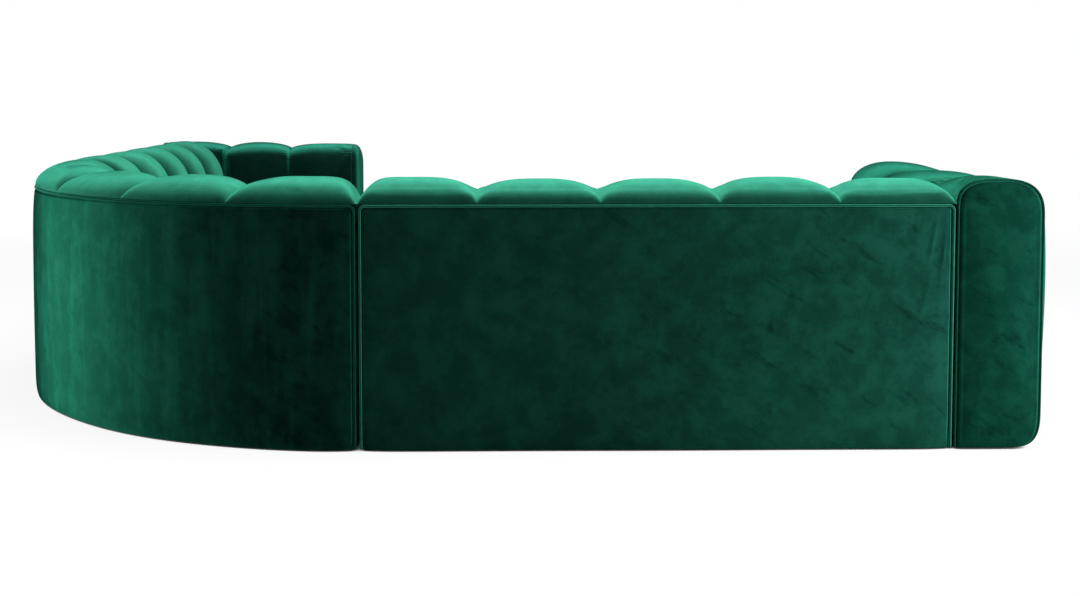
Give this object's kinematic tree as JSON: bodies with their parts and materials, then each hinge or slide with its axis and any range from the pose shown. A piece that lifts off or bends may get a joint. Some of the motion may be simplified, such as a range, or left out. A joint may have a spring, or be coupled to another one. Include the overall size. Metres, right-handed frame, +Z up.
{
  "type": "modular corner sofa",
  "caption": "Low L-shaped modular sofa with padded channels rolling over the back, a quarter-round corner module and armed end modules that pull off its push-in connectors.",
  "frame": {"origin": "on the floor, at the middle of the square footprint", "axes": "+Z up; the straight module's seat faces -Y and the wing's seat faces -X"},
  "size_m": [3, 3, 0.73],
  "materials": {
    "velvet": "deep green velvet",
    "velvet_piping": "velvet-covered cord",
    "frame_timber": "planed softwood",
    "connector_steel": "zinc-plated plate",
    "seat_webbing": "elastic webbing",
    "underside_cloth": "non-woven black cloth on board",
    "glide_plastic": "moulded"
  },
  "bodies": {
    "corner": {"corner_back_channels": "velvet", "corner_back_frame": "frame_timber", "corner_back_piping": "velvet_piping", "corner_base_frame": "frame_timber", "corner_dust_cover": "underside_cloth", "corner_front_border": "velvet", "corner_glide_back": "glide_plastic", "corner_glide_front": "glide_plastic", "corner_glide_straight": "glide_plastic", "corner_glide_wing": "glide_plastic", "corner_outside_back": "velvet", "corner_seat_cushion": "velvet", "corner_seat_webbing": "seat_webbing", "corner_straight_connector_jaw": "connector_steel", "corner_straight_seam_panel": "velvet", "corner_wing_connector_jaw": "connector_steel", "corner_wing_seam_panel": "velvet"},
    "straight_module": {"straight_arm_back_panel": "velvet", "straight_arm_back_piping": "velvet_piping", "straight_arm_channels": "velvet", "straight_arm_frame": "frame_timber", "straight_arm_front_panel": "velvet", "straight_arm_outside_panel": "velvet", "straight_back_channels": "velvet", "straight_back_frame": "frame_timber", "straight_back_piping": "velvet_piping", "straight_base_frame": "frame_timber", "straight_connector_tongue": "connector_steel", "straight_dust_cover": "underside_cloth", "straight_front_border": "velvet", "straight_glide_back_arm": "glide_plastic", "straight_glide_back_seam": "glide_plastic", "straight_glide_front_arm": "glide_plastic", "straight_glide_front_seam": "glide_plastic", "straight_outside_back": "velvet", "straight_seam_panel": "velvet", "straight_seat_cushion": "velvet", "straight_seat_webbing": "seat_webbing"},
    "wing_module": {"wing_arm_back_panel": "velvet", "wing_arm_back_piping": "velvet_piping", "wing_arm_channels": "velvet", "wing_arm_frame": "frame_timber", "wing_arm_front_panel": "velvet", "wing_arm_outside_panel": "velvet", "wing_back_channels": "velvet", "wing_back_frame": "frame_timber", "wing_back_piping": "velvet_piping", "wing_base_frame": "frame_timber", "wing_connector_tongue": "connector_steel", "wing_dust_cover": "underside_cloth", "wing_front_border": "velvet", "wing_glide_back_arm": "glide_plastic", "wing_glide_back_seam": "glide_plastic", "wing_glide_front_arm": "glide_plastic", "wing_glide_front_seam": "glide_plastic", "wing_outside_back": "velvet", "wing_seam_panel": "velvet", "wing_seat_cushion": "velvet", "wing_seat_webbing": "seat_webbing"}
  },
  "joints": [
    {"name": "straight_slide", "type": "slide", "parent": "corner", "child": "straight_module", "axis": [-1, 0, 0], "range_m": [0, 0.3]},
    {"name": "wing_slide", "type": "slide", "parent": "corner", "child": "wing_module", "axis": [0, -1, 0], "range_m": [0, 0.3]}
  ]
}
